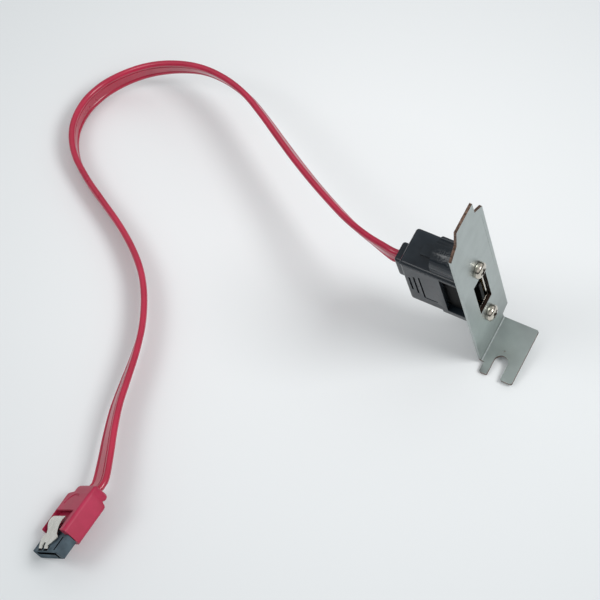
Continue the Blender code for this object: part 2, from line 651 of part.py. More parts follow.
def build_plug_overmould(frame, vinyl):
    """Mould the red grip: box, waist, collar and neck, with the latch window and the thumb arc."""
    front = NOSE_LENGTH
    back = front + OVERMOULD_LENGTH
    half_thick = OVERMOULD_THICKNESS / 2
    grip = pillow_box((OVERMOULD_LEFT, OVERMOULD_RIGHT), (front, back), (-half_thick, half_thick),
                      OVERMOULD_RADIUS)
    grip = add_object("plug_overmould", grip, vinyl, frame)
    collar_start = back + PLUG_WAIST_LENGTH
    collar_end = collar_start + PLUG_COLLAR_LENGTH
    waist = rounded_box((PLUG_WAIST_LEFT, PLUG_COLLAR_RIGHT),
                        (back - OVERMOULD_RADIUS, collar_start + OVERMOULD_RADIUS),
                        (PLUG_WAIST_BOTTOM, PLUG_COLLAR_TOP), OVERMOULD_RADIUS)
    combine(grip, add_object("plug_overmould_waist", waist, vinyl, frame), "UNION")
    collar = pillow_box((PLUG_COLLAR_LEFT, PLUG_COLLAR_RIGHT), (collar_start, collar_end),
                        (PLUG_COLLAR_BOTTOM, PLUG_COLLAR_TOP), OVERMOULD_RADIUS)
    combine(grip, add_object("plug_overmould_collar", collar, vinyl, frame), "UNION")
    neck = rounded_box(span(0.0, PLUG_NECK_WIDTH), (back - OVERMOULD_RADIUS, collar_end + PLUG_NECK_LENGTH),
                       span(0.0, PLUG_NECK_THICKNESS), OVERMOULD_RADIUS)
    combine(grip, add_object("plug_overmould_neck", neck, vinyl, frame), "UNION")

    pocket = bmesh.new()
    add_box(pocket, span(0.0, NECK_WIDTH + 2 * FIT_GAP),
            (front - OVERMOULD_RADIUS, front + NECK_LENGTH + FIT_GAP), (NOSE_BOTTOM, NOSE_TOP))
    combine(grip, add_object("plug_overmould_pocket_cut", pocket, vinyl, frame), "DIFFERENCE")
    window = bmesh.new()
    add_box(window, (LATCH_WINDOW_LEFT, LATCH_WINDOW_RIGHT),
            (front - OVERMOULD_RADIUS, front + LATCH_WINDOW_LENGTH),
            (NOSE_TOP - 2 * FIT_GAP, half_thick + OVERMOULD_RADIUS))
    combine(grip, add_object("plug_overmould_window_cut", window, vinyl, frame), "DIFFERENCE")

    arc = bmesh.new()
    centre = (FINGER_ARC_X, FINGER_ARC_Y)
    outer = arc_points(centre, FINGER_ARC_RADIUS + FINGER_ARC_WIDTH / 2, FINGER_ARC_FROM_DEG,
                       FINGER_ARC_TO_DEG, ROUND_STEPS // 2)
    inner = arc_points(centre, FINGER_ARC_RADIUS - FINGER_ARC_WIDTH / 2, FINGER_ARC_TO_DEG,
                       FINGER_ARC_FROM_DEG, ROUND_STEPS // 2)
    low = half_thick - FINGER_ARC_DEPTH
    ring = [arc.verts.new((x, y, low)) for x, y in outer + inner]
    grown = bmesh.ops.extrude_face_region(arc, geom=[arc.faces.new(ring)])
    far = [item for item in grown["geom"] if isinstance(item, bmesh.types.BMVert)]
    bmesh.ops.translate(arc, verts=far, vec=(0.0, 0.0, 3 * FINGER_ARC_DEPTH))
    combine(grip, add_object("plug_overmould_arc_cut", arc, vinyl, frame), "DIFFERENCE")
    return grip


def build_latch(frame, steel):
    """Press the spring clip: two prongs, a wide catch, a waist and a raised thumb pad."""
    pivot = Vector((LATCH_X, LATCH_PIVOT_Y, LATCH_PIVOT_Z))
    bm = bmesh.new()

    def point(x, y, z):
        return bm.verts.new(Vector((x, y, z)) - pivot)

    rows = []
    for y, z, left, right in LATCH_STATIONS:
        inside = (LATCH_X - PRONG_INNER, LATCH_X + PRONG_INNER)
        rows.append([point(x, y, z) for x in (left, *inside, right)])
    for near, far in zip(rows, rows[1:]):
        for index in range(3):
            bm.faces.new((near[index], near[index + 1], far[index + 1], far[index]))
    for first, second, side in ((0, 1, -1), (3, 2, 1)):
        ends = [rows[0][first], rows[0][second]]
        for y, z in ((PRONG_BEND_Y, PRONG_BEND_Z), (PRONG_TIP_Y, PRONG_TIP_Z)):
            tip = [point(LATCH_X + side * PRONG_OUTER, y, z), point(LATCH_X + side * PRONG_INNER, y, z)]
            bm.faces.new((ends[0], ends[1], tip[1], tip[0]))
            ends = tip
    clip = add_object("latch_clip", bm, steel, frame, pivot)
    if clip.data.polygons[0].normal.z < 0:
        clip.data.flip_normals()
    sheet = clip.modifiers.new("sheet", "SOLIDIFY")
    sheet.thickness = LATCH_SHEET
    sheet.offset = -1.0
    return clip


def smooth_route(points, count):
    """Read evenly spaced points from one smooth curve through the route's own points."""
    fine = []
    for index in range(len(points) - 1):
        before = points[max(index - 1, 0)]
        start = points[index]
        end = points[index + 1]
        after = points[min(index + 2, len(points) - 1)]
        for step in range(20):
            t = step / 20
            fine.append(0.5 * (2 * start + (end - before) * t
                               + (2 * before - 5 * start + 4 * end - after) * t ** 2
                               + (3 * start - before - 3 * end + after) * t ** 3))
    fine.append(points[-1])
    lengths = [0.0]
    for one, two in zip(fine, fine[1:]):
        lengths.append(lengths[-1] + (two.xyz - one.xyz).length)
    even = []
    reach = 0
    for index in range(count):
        target = lengths[-1] * index / (count - 1)
        while reach < len(lengths) - 2 and lengths[reach + 1] < target:
            reach += 1
        share = (target - lengths[reach]) / (lengths[reach + 1] - lengths[reach])
        even.append(fine[reach].lerp(fine[reach + 1], min(share, 1.0)))
    return even


def straight_end(frame, x, y, z, lean_deg):
    """Return the cable's end and a point straight behind it, out of a face that looks along Y."""
    lean = math.radians(lean_deg)
    ends = [frame.matrix_basis @ Vector((x, y + FIT_GAP + ahead, z)) for ahead in (0.0, CABLE_LEAD)]
    return [Vector((*end, lean)) for end in ends]


def build_cable(bracket_frame, plug_frame, vinyl):
    """Run the flat cable from the collar to the plug, leaning as its route says."""
    collar_end = SHEET + FIT_GAP + BODY_DEPTH + COLLAR_DEPTH
    plug_end = (NOSE_LENGTH + OVERMOULD_LENGTH + PLUG_WAIST_LENGTH + PLUG_COLLAR_LENGTH
                + PLUG_NECK_LENGTH)
    route = straight_end(bracket_frame, SCREW_X, collar_end, SCREW_MID_Z, SOCKET_END_LEAN_DEG)
    route += [Vector((x * MM, y * MM, z * MM, math.radians(lean))) for x, y, z, lean in CABLE_ROUTE_MM]
    route += reversed(straight_end(plug_frame, 0.0, plug_end, 0.0, PLUG_END_LEAN_DEG))
    points = smooth_route(route, CABLE_STEPS)

    curve = bpy.data.curves.new("cable", "CURVE")
    curve.dimensions = "3D"
    curve.twist_mode = "Z_UP"
    curve.bevel_depth = CABLE_THICKNESS / 2
    curve.extrude = (CABLE_WIDTH - CABLE_THICKNESS) / 2
    curve.bevel_resolution = CABLE_BEVEL_STEPS
    curve.use_fill_caps = True
    spline = curve.splines.new("POLY")
    spline.points.add(len(points) - 1)
    for slot, point in zip(spline.points, points):
        slot.co = (*point.xyz, 1.0)
        slot.tilt = -point.w
    curve.materials.append(vinyl)
    cable = bpy.data.objects.new("cable", curve)
    bpy.context.scene.collection.objects.link(cable)
    return cable


def main():
    clear_scene()
    zinc = make_material("zinc_plated_steel", (0.36, 0.41, 0.40), 0.45, 0.9)
    nickel = make_material("nickel_plated_steel", (0.62, 0.58, 0.52), 0.25, 1.0)
    brass = make_material("brass", (0.62, 0.44, 0.18), 0.35, 1.0)
    black = make_material("black_pvc", (0.018, 0.022, 0.026), 0.5)
    insulator = make_material("black_nylon", (0.008, 0.008, 0.009), 0.4)
    slate = make_material("slate_nylon", (0.07, 0.10, 0.12), 0.5)
    red = make_material("red_pvc", (0.42, 0.02, 0.06), 0.45)
    red_grip = make_material("red_moulded_pvc", (0.38, 0.02, 0.07), 0.55)
    spring = make_material("spring_steel", (0.60, 0.60, 0.55), 0.35, 1.0)
    gold = make_material("gold_plate", (0.80, 0.55, 0.20), 0.3, 1.0)

    bracket_frame = make_frame("bracket_frame", BRACKET_CORNER, BRACKET_HEADING_DEG,
                               BRACKET_PITCH_DEG, BRACKET_ROLL_DEG)
    build_bracket(bracket_frame, zinc)
    for place, height in screw_places():
        build_screw("screw_" + place, height, bracket_frame, nickel)
        build_insert("threaded_insert_" + place, height, bracket_frame, brass)
    build_socket_body(bracket_frame, black)
    build_receptacle(bracket_frame, insulator, nickel, gold)

    plug_frame = make_frame("plug_frame", PLUG_NOSE, PLUG_HEADING_DEG, PLUG_PITCH_DEG, PLUG_ROLL_DEG)
    bpy.context.view_layer.update()
    build_plug_housing(plug_frame, slate)
    build_plug_contacts(plug_frame, gold)
    build_plug_overmould(plug_frame, red_grip)
    build_latch(plug_frame, spring)
    build_cable(bracket_frame, plug_frame, red)


main()
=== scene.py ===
# %% [markdown]
# A slot bracket with an external drive socket and a flat cable. This file is about looks: most
# solids get a finer twin that is modelled here by hand, and all of them get a material that says
# what they are made of.

# %% Load the frame
import math

import bmesh
import bpy
from mathutils import Matrix, Vector


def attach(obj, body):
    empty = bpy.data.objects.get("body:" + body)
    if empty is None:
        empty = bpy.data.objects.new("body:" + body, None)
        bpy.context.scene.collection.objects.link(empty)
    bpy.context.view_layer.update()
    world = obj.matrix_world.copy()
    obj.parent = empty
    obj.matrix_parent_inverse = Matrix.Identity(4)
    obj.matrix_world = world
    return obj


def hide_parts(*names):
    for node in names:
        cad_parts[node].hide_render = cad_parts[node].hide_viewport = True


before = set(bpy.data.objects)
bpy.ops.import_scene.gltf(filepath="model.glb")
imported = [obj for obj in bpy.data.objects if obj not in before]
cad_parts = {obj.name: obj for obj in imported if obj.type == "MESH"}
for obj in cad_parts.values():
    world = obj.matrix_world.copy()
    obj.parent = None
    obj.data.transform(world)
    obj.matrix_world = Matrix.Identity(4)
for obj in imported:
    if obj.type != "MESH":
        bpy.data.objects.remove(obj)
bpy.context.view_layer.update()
MM = 0.001

# %% [markdown]
# The bracket and the plug lie askew, so each is modelled square to the axes and set down last.
# A heading, a pitch and a roll make each pose, the same ones that the solids were given.

# %% Poses of the two assemblies
def pose(place_mm, heading, pitch, roll):
    """Roll about Y, pitch about X, turn about Z, then move, as an assembly is set down."""
    turn = (Matrix.Rotation(math.radians(heading), 4, "Z")
            @ Matrix.Rotation(math.radians(pitch), 4, "X")
            @ Matrix.Rotation(math.radians(roll), 4, "Y"))
    return Matrix.Translation(Vector(place_mm) * MM) @ turn


BRACKET_POSE = pose((4.622, -4.67, 1.536), 60.25, -4.93, -13.45)
PLUG_POSE = pose((-117.579, -70.134, 6.591), -31.8, 3.75, -48.1)

# %% [markdown]
# The camera comes first, because the cable is checked against its view. A 36 mm sensor behind a
# 132 mm lens gives the flat perspective of a product shot, and 33 degrees off the vertical is how
# steeply the photographer looked down.

# %% Camera
camera_data = bpy.data.cameras.new("product_camera")
camera_data.lens = 132.0
camera_data.sensor_width = 36.0
camera = bpy.data.objects.new("product_camera", camera_data)
camera.location = (-48.378 * MM, -340.66 * MM, 551.226 * MM)
camera.rotation_euler = (math.radians(33.0), 0.0, 0.0)
bpy.context.scene.collection.objects.link(camera)
bpy.context.scene.camera = camera
print("camera stands %.0f mm above the table" % (camera.location.z / MM))

# %% [markdown]
# Colours are written as sRGB hex, the way a picture editor shows them. Shaders want linear light,
# so one function converts. A second one adds a node, sets its values and links its inputs, and
# every material below is built with it.

# %% Colour and material helpers
def linear(hex_colour):
    """Turn an sRGB hex value into linear red, green, blue and a full alpha."""
    channels = []
    for start in (1, 3, 5):
        value = int(hex_colour[start:start + 2], 16) / 255
        channels.append(value / 12.92 if value <= 0.04045 else ((value + 0.055) / 1.055) ** 2.4)
    return (*channels, 1.0)


def add_node(material, kind, links=None, **settings):
    """Add a node. Links map an input's name or number to an output; settings set the rest."""
    node = material.node_tree.nodes.new(kind)
    for key, value in settings.items():
        if hasattr(node, key):
            setattr(node, key, value)
        else:
            node.inputs[key.replace("_", " ")].default_value = value
    for key, output in (links or {}).items():
        material.node_tree.links.new(output, node.inputs[key])
    return node


def new_material(name, colour, roughness, metallic=0.0):
    """Start a Principled material and return it with its shader."""
    material = bpy.data.materials.new(name)
    material.use_nodes = True
    shader = material.node_tree.nodes["Principled BSDF"]
    shader.inputs["Base Color"].default_value = linear(colour)
    shader.inputs["Roughness"].default_value = roughness
    shader.inputs["Metallic"].default_value = metallic
    material.diffuse_color = linear(colour)
    return material, shader


def grain_size(size_mm):
    """Return the Noise scale whose grains are about this far apart."""
    return 1.0 / (size_mm * MM)


# %% [markdown]
# Most finishes need the same two things: a base colour that drifts a little between two close
# tones, and a fine bump. A stretched pattern, such as the grain of rolled steel, must follow the
# piece and not the room, so the coordinates are first turned back into the piece's own pose.

# %% Surface helpers
def room_axes(material):
    """Return coordinates in metres along the axes that the finished meshes are written in."""
    return add_node(material, "ShaderNodeTexCoord").outputs["Object"]


def own_axes(material, pose_matrix, stretch=(1.0, 1.0, 1.0)):
    """Return coordinates along the piece's own axes, stretched for a directional pattern."""
    coordinates = room_axes(material)
    back = pose_matrix.inverted()
    turned = add_node(material, "ShaderNodeMapping", {"Vector": coordinates},
                      Rotation=back.to_euler("XYZ"), Location=back.to_translation())
    scaled = add_node(material, "ShaderNodeMapping", {"Vector": turned.outputs["Vector"]},
                      Scale=stretch)
    return scaled.outputs["Vector"]


def tone(material, shader, vector, scale, dark, light, detail=4.0):
    """Let the base colour drift between two tones."""
    noise = add_node(material, "ShaderNodeTexNoise", {"Vector": vector}, Scale=scale, Detail=detail)
    ramp = add_node(material, "ShaderNodeValToRGB", {"Fac": noise.outputs["Fac"]})
    ramp.color_ramp.elements[0].position = 0.3
    ramp.color_ramp.elements[0].color = linear(dark)
    ramp.color_ramp.elements[1].position = 0.7
    ramp.color_ramp.elements[1].color = linear(light)
    material.node_tree.links.new(ramp.outputs["Color"], shader.inputs["Base Color"])
    return noise


def vary_roughness(material, shader, factor, low, high):
    """Let the roughness run between two values with a pattern."""
    spread = add_node(material, "ShaderNodeMapRange", {"Value": factor}, To_Min=low, To_Max=high)
    material.node_tree.links.new(spread.outputs["Result"], shader.inputs["Roughness"])


def bump(material, shader, vector, scale, depth_mm, strength=0.3, detail=3.0):
    """Raise a fine grain out of the surface."""
    noise = add_node(material, "ShaderNodeTexNoise", {"Vector": vector}, Scale=scale, Detail=detail)
    raised = add_node(material, "ShaderNodeBump", {"Height": noise.outputs["Fac"]},
                      Strength=strength, Distance=depth_mm * MM)
    material.node_tree.links.new(raised.outputs["Normal"], shader.inputs["Normal"])


# %% [markdown]
# Modelling by operators means selecting, then shaping. These helpers do the selecting in code: a
# face or an edge is chosen by where its middle lies, and nothing else stays selected. A finished
# piece is turned into its assembly's pose, which is then written into its mesh.

# %% Modelling helpers
def deselect():
    if bpy.context.object and bpy.context.object.mode == "EDIT":
        bpy.ops.object.mode_set(mode="OBJECT")
    bpy.ops.object.select_all(action="DESELECT")


def make_active(item):
    deselect()
    item.select_set(True)
    bpy.context.view_layer.objects.active = item


def block(name, low, high):
    """Add a cube between two corners, given in millimetres."""
    deselect()
    low = Vector(low)
    high = Vector(high)
    bpy.ops.mesh.primitive_cube_add(size=1.0, location=(low + high) / 2 * MM)
    item = bpy.context.object
    item.name = name
    item.scale = (high - low) * MM
    bpy.ops.object.transform_apply(location=True, rotation=True, scale=True)
    return item


def rod(name, radius, middle, length, rotation, sides):
    """Add a round rod about its middle, in millimetres."""
    deselect()
    bpy.ops.mesh.primitive_cylinder_add(vertices=sides, radius=radius * MM, depth=length * MM,
                                        location=[value * MM for value in middle],
                                        rotation=rotation)
    item = bpy.context.object
    item.name = name
    bpy.ops.object.transform_apply(location=True, rotation=True, scale=True)
    return item


def bar(name, radius, low, high, x, z, sides=32):
    """Add a round bar that lies along Y between two distances."""
    middle = (x, (low + high) / 2, z)
    return rod(name, radius, middle, high - low, (math.pi / 2, 0.0, 0.0), sides)


def post(name, radius, x, y, low, high, sides=32):
    """Add a round post that stands along Z between two heights."""
    return rod(name, radius, (x, y, (low + high) / 2), high - low, (0.0, 0.0, 0.0), sides)


def choose(item, kind, test):
    """In edit mode, select the faces or edges whose middle, in mm, and direction pass a test."""
    make_active(item)
    bpy.ops.object.mode_set(mode="EDIT")
    bpy.context.tool_settings.mesh_select_mode = (False, kind == "edges", kind == "faces")
    bpy.ops.mesh.select_all(action="DESELECT")
    mesh = bmesh.from_edit_mesh(item.data)
    for part in getattr(mesh, kind):
        if kind == "faces":
            middle, way = part.calc_center_median(), part.normal
        else:
            middle = (part.verts[0].co + part.verts[1].co) / 2
            way = (part.verts[1].co - part.verts[0].co).normalized()
        if test(middle / MM, way):
            part.select_set(True)
    bmesh.update_edit_mesh(item.data)


def finish_modifier(item, kind, **settings):
    """Add a modifier and apply it at once."""
    make_active(item)
    modifier = item.modifiers.new(kind.lower(), kind)
    for key, value in settings.items():
        setattr(modifier, key, value)
    bpy.ops.object.modifier_apply(modifier=modifier.name)


def carve(item, tools, operation="DIFFERENCE"):
    """Cut tools out of the piece, or weld them on, and throw the tools away."""
    for tool in tools:
        finish_modifier(item, "BOOLEAN", operation=operation, solver="EXACT", object=tool)
        bpy.data.objects.remove(tool, do_unlink=True)


MERGE_DISTANCE = 2e-6


def tidy_surface(item, edge_mm=0.0, angle=30.0, segments=2):
    """Merge doubles, break sharp edges by a small bevel and shade smooth but for flat faces."""
    make_active(item)
    bpy.ops.object.mode_set(mode="EDIT")
    bpy.ops.mesh.select_all(action="SELECT")
    bpy.ops.mesh.remove_doubles(threshold=MERGE_DISTANCE)
    bpy.ops.mesh.normals_make_consistent(inside=False)
    bpy.ops.object.mode_set(mode="OBJECT")
    if edge_mm:
        finish_modifier(item, "BEVEL", width=edge_mm * MM, segments=segments,
                        limit_method="ANGLE", angle_limit=math.radians(angle),
                        use_clamp_overlap=True, harden_normals=False)
    make_active(item)
    bpy.ops.object.shade_smooth_by_angle(angle=math.radians(angle))
    if edge_mm:
        finish_modifier(item, "WEIGHTED_NORMAL", keep_sharp=True, weight=100)


def set_down(item, pose_matrix, material, node, body="root"):
    """Write the pose into the mesh, hand over the material and take the CAD node's place."""
    make_active(item)
    item.matrix_world = pose_matrix @ item.matrix_world
    bpy.ops.object.transform_apply(location=True, rotation=True, scale=True)
    for one in material if isinstance(material, list) else [material]:
        item.data.materials.append(one)
    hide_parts(node)
    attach(item, body)
    print("%-22s %5d faces" % (item.name, len(item.data.polygons)))


# %% [markdown]
# The cable is a flat data lead: two screened pairs side by side under one jacket, which shows as
# a round bead along each edge, with a flat web between. It is 7 mm wide, about 2 mm thick and
# 29 cm long. The whole of it shows in the picture, from the socket to the plug. It stands on edge
# because a flat lead bends easily one way only. The route repeats the solid's own points, each with
# its lean in degrees, and is read from one curve.

# %% Cable route
CABLE_WIDTH = 7.0 * MM
CABLE_THICKNESS = 2.0 * MM
FIT_GAP_MM = 0.3
CABLE_LEAD_MM = 3.0
CABLE_POINTS = 240
SCREW_X, SCREW_HEIGHTS = 9.35, (46.2, 16.2)
COLLAR_FACE_MM, COLLAR_LEAN = (SCREW_X, 26.26, 31.2), 13.4
GRIP_FACE_MM, GRIP_LEAN = (0.0, 22.3, 0.0), 41.9
CABLE_ROUTE_MM = (
    (-28, 19.57, 28.82, 26), (-33.8, 27.57, 25.92, 28), (-39.1, 36.07, 23.72, 28),
    (-44.2, 44.57, 22.02, 28), (-49.3, 53.38, 20.82, 28), (-54.3, 62.38, 19.92, 27),
    (-59.3, 71.48, 19.12, 26), (-64.7, 80.28, 18.12, 26), (-71.3, 87.68, 16.82, 27),
    (-79, 93.38, 14.82, 25), (-87.6, 96.88, 11.82, 16), (-96.2, 98.18, 8.62, 8),
    (-104.2, 96.78, 6.02, 1), (-111, 92.98, 4.41, -6), (-116.2, 86.58, 3.67, -9),
    (-118.8, 77.68, 3.64, -10), (-117.8, 67.98, 3.64, -10), (-113.5, 58.67, 3.56, -13),
    (-108.1, 49.77, 3.92, -15), (-102.8, 40.97, 4.31, -14), (-98.5, 31.88, 4.81, -9),
    (-95.6, 22.78, 5.22, -3), (-94.5, 13.38, 5.52, 3), (-94.8, 3.67, 5.72, 8),
    (-96.5, -5.72, 6.02, 17), (-98.8, -14.73, 6.32, 24), (-100.9, -23.22, 6.62, 28),
    (-102.2, -31.72, 7.02, 32), (-103.1, -40.33, 7.42, 37),
)


def straight_end(pose_matrix, face_mm, lean):
    """Return the cable's end just off a face and a point straight behind it."""
    x, y, z = face_mm
    ends = [pose_matrix @ (Vector((x, y + ahead, z)) * MM)
            for ahead in (FIT_GAP_MM, FIT_GAP_MM + CABLE_LEAD_MM)]
    return [Vector((*end, math.radians(lean))) for end in ends]


def smooth_route(points, count):
    """Read evenly spaced points from one smooth curve through the route's own points."""
    fine = []
    for index in range(len(points) - 1):
        before, start, end = points[max(index - 1, 0)], points[index], points[index + 1]
        after = points[min(index + 2, len(points) - 1)]
        for step in range(20):
            t = step / 20
            fine.append(0.5 * (2 * start + (end - before) * t
                               + (2 * before - 5 * start + 4 * end - after) * t ** 2
                               + (3 * start - before - 3 * end + after) * t ** 3))
    fine.append(points[-1])
    lengths = [0.0]
    for one, two in zip(fine, fine[1:]):
        lengths.append(lengths[-1] + (two.xyz - one.xyz).length)
    even, reach = [], 0
    for index in range(count):
        target = lengths[-1] * index / (count - 1)
        while reach < len(lengths) - 2 and lengths[reach + 1] < target:
            reach += 1
        share = (target - lengths[reach]) / (lengths[reach + 1] - lengths[reach])
        even.append(fine[reach].lerp(fine[reach + 1], min(share, 1.0)))
    return even, lengths[-1]


route = straight_end(BRACKET_POSE, COLLAR_FACE_MM, COLLAR_LEAN)
route += [Vector((x * MM, y * MM, z * MM, math.radians(lean))) for x, y, z, lean in CABLE_ROUTE_MM]
route += reversed(straight_end(PLUG_POSE, GRIP_FACE_MM, GRIP_LEAN))
cable_points, cable_length = smooth_route(route, CABLE_POINTS)
print("cable length %.1f mm" % (cable_length / MM))

# %% [markdown]
# A curve can carry any closed outline along its length, tilted point by point. The outline here is
# the jacket's real section, with its two beads, and the tilt is how far the cable leans as it lies.
# Making it a mesh at the end lets its material behave as every other piece's does.

# %% Cable
BEAD_POINTS, BEAD_STEP_DEG = 12, 12
CREASE_AND_WEB = ((0.46, 0.93), (0.84, 1.15), (0.84, 1.7))


def beaded_outline():
    """Return the jacket's section: a round bead along each edge, a crease and a flat web."""
    half_width, half_thick = CABLE_WIDTH / 2, CABLE_THICKNESS / 2
    bead = half_width - half_thick
    quarter = []
    for step in range(BEAD_POINTS):
        turn = math.radians(BEAD_STEP_DEG * step)
        quarter.append((half_thick * math.sin(turn), bead + half_thick * math.cos(turn)))
    for height, inward in CREASE_AND_WEB:
        quarter.append((half_thick * height, bead - half_thick * inward))
    right = quarter + [(aside, -along) for aside, along in reversed(quarter)]
    return right + [(-aside, along) for aside, along in reversed(right[1:-1])]


def outline_curve(name, points):
    """Make a closed flat curve to be carried along the route."""
    data = bpy.data.curves.new(name, "CURVE")
    data.dimensions = "2D"
    line = data.splines.new("POLY")
    line.points.add(len(points) - 1)
    for slot, (x, y) in zip(line.points, points):
        slot.co = (x, y, 0.0, 1.0)
    line.use_cyclic_u = True
    item = bpy.data.objects.new(name, data)
    bpy.context.scene.collection.objects.link(item)
    return item


section = outline_curve("jacket_section", beaded_outline())
cable_data = bpy.data.curves.new("flat_cable", "CURVE")
cable_data.dimensions = "3D"
cable_data.twist_mode = "Z_UP"
cable_data.bevel_mode = "OBJECT"
cable_data.bevel_object = section
cable_data.use_fill_caps = True
line = cable_data.splines.new("POLY")
line.points.add(len(cable_points) - 1)
for slot, point in zip(line.points, cable_points):
    slot.co = (*point.xyz, 1.0)
    slot.tilt = -point.w
flat_cable = bpy.data.objects.new("flat_cable", cable_data)
bpy.context.scene.collection.objects.link(flat_cable)
make_active(flat_cable)
bpy.ops.object.convert(target="MESH")
flat_cable = bpy.context.object
bpy.data.objects.remove(section, do_unlink=True)
tidy_surface(flat_cable, angle=32.0)
print("cable:", len(flat_cable.data.polygons), "faces")

# %% [markdown]
# The jacket is soft PVC, extruded hot and cooled in water. That leaves a satin skin with very
# fine ripples along the cable, and a highlight that runs down its edge. Its flat side mirrors the
# pale table and looks greyer, which the coat does.

# %% Cable jacket
red_pvc, shader = new_material("red_pvc_jacket", "#b0143b", 0.3)
where = room_axes(red_pvc)
noise = tone(red_pvc, shader, where, grain_size(9.0), "#a61036", "#ba1841")
vary_roughness(red_pvc, shader, noise.outputs["Fac"], 0.24, 0.34)
bump(red_pvc, shader, where, grain_size(1.4), 0.02, 0.15)
shader.inputs["Sheen Weight"].default_value = 0.06
shader.inputs["Sheen Roughness"].default_value = 0.4
shader.inputs["Coat Weight"].default_value = 0.35
shader.inputs["Coat Roughness"].default_value = 0.16

flat_cable.data.materials.clear()
flat_cable.data.materials.append(red_pvc)
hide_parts("cable")
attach(flat_cable, "root")

# %% [markdown]
# Sheet metal is modelled the way it is bent. A cube is sized to the flat plate, its top face is
# pulled up and narrowed into the tongue, and its bottom face is pulled down and then spun a quarter
# turn about the bend's axis, which keeps the sheet's thickness all the way round the fold. Holes
# and the screw notch are punched last with Boolean cutters, as a press would do it. From here on,
# lengths are in millimetres along the assembly's own axes, and the plate's face lies at y = 0.

# %% Bracket: plate, tongue, fold and tab
SHEET = 0.86
PLATE_WIDTH, TONGUE_FOOT_WIDTH, TONGUE_WIDTH, FOLD_WIDTH = 18.42, 10.7, 9.3, 15.2


def pull(offset, scale=(1.0, 1.0, 1.0)):
    """Extrude what is selected by an offset in mm, then scale it about its own middle."""
    bpy.ops.mesh.extrude_region_move(TRANSFORM_OT_translate={"value": Vector(offset) * MM})
    if scale != (1.0, 1.0, 1.0):
        mesh = bmesh.from_edit_mesh(bpy.context.object.data)
        places = [vert.co for vert in mesh.verts if vert.select]
        middle = sum(places, Vector()) / len(places)
        bpy.ops.transform.resize(value=scale, center_override=middle)


def leave_edit():
    bpy.ops.object.mode_set(mode="OBJECT")


slot_bracket = block("slot_bracket", (0, 0, 3.2), (PLATE_WIDTH, SHEET, 69.1))
choose(slot_bracket, "faces", lambda middle, way: way.z > 0.9)
pull((0.14, 0, 3.0), (TONGUE_FOOT_WIDTH / PLATE_WIDTH, 1, 1))
pull((0.70, 0, 5.4), (TONGUE_WIDTH / TONGUE_FOOT_WIDTH, 1, 1))
choose(slot_bracket, "faces", lambda middle, way: way.z < -0.9)
pull((-1.61, 0, -0.9), (FOLD_WIDTH / PLATE_WIDTH, 1, 1))
pull((0, 0, -1.8))
bpy.ops.mesh.spin(steps=6, angle=math.radians(90), center=(0, -0.5 * MM, 0.5 * MM), axis=(1, 0, 0))
choose(slot_bracket, "faces", lambda middle, way: way.y < -0.9 and middle.z < -0.2)
pull((0, -0.4, 0))
pull((0, -10.6, 0))
choose(slot_bracket, "faces", lambda middle, way: way.x < -0.9 and middle.y < -2.0)
pull((-3.4, 0, 0))
choose(slot_bracket, "edges", lambda middle, way: abs(way.z) > 0.9 and middle.z < 0
       and (middle.y < -11.4 or middle.x < -3.3))
bpy.ops.mesh.bevel(offset=0.6 * MM, segments=4, affect="EDGES")
leave_edit()
print("bracket before punching:", len(slot_bracket.data.polygons), "faces")

# %% [markdown]
# The punched shapes: the U-notch for the case screw, the socket's opening, two screw holes hidden
# under the heads, the small dimple beside the notch and a faint drawn line down the plate.

# %% Bracket: punching
carve(slot_bracket, [
    block("notch_cut", (-6, -7.8, -2), (1.6, -3.4, 1)),
    post("notch_round_cut", 2.2, 1.6, -5.6, -2, 1),
])
choose(slot_bracket, "edges", lambda middle, way: abs(way.z) > 0.9 and middle.z < 0
       and middle.x < -3.2 and -8.0 < middle.y < -3.2)
bpy.ops.mesh.bevel(offset=0.35 * MM, segments=3, affect="EDGES")
leave_edit()
carve(slot_bracket, [
    block("opening_cut", (5.8, -2, 22.2), (12.5, 2, 40.0)),
    post("dimple_cut", 0.38, 5.1, -5.3, -0.35, 1, sides=16),
    block("drawn_line_cut", (17.05, -1, 33.0), (17.2, 0.05, 66.0)),
] + [bar("screw_hole_cut", 1.75, -2, 2, SCREW_X, height) for height in SCREW_HEIGHTS])
tidy_surface(slot_bracket, edge_mm=0.13)


def is_cut_edge(middle, way):
    """Say whether a face lies on a bare sheared edge; the plate's two long sides are plated."""
    if middle.z > 0.6:
        return abs(way.y) < 0.8 and (middle.z > 68.9 or 5.5 < middle.x < 12.8)
    if middle.y < -0.6:
        return abs(way.z) < 0.5
    return abs(way.x) > 0.7


def is_fold(middle, way):
    """Say whether a face lies on the inside of the bend, which is matt and painted darker as shade.
    """
    return -0.7 < middle.y < 0.05 and middle.z < 0.75 and way.y < -0.02 and way.z > 0.02


# Fold faces and the opening's cut faces get finishes painted darker as shade.
PLATED, SHEARED, FOLDED, SHADED_RECESS = range(4)
for face in slot_bracket.data.polygons:
    middle = face.center / MM
    if is_fold(middle, face.normal):
        face.material_index = FOLDED
    elif is_cut_edge(middle, face.normal):
        face.material_index = SHADED_RECESS if 20.0 < middle.z < 42.0 else SHEARED
    else:
        face.material_index = PLATED
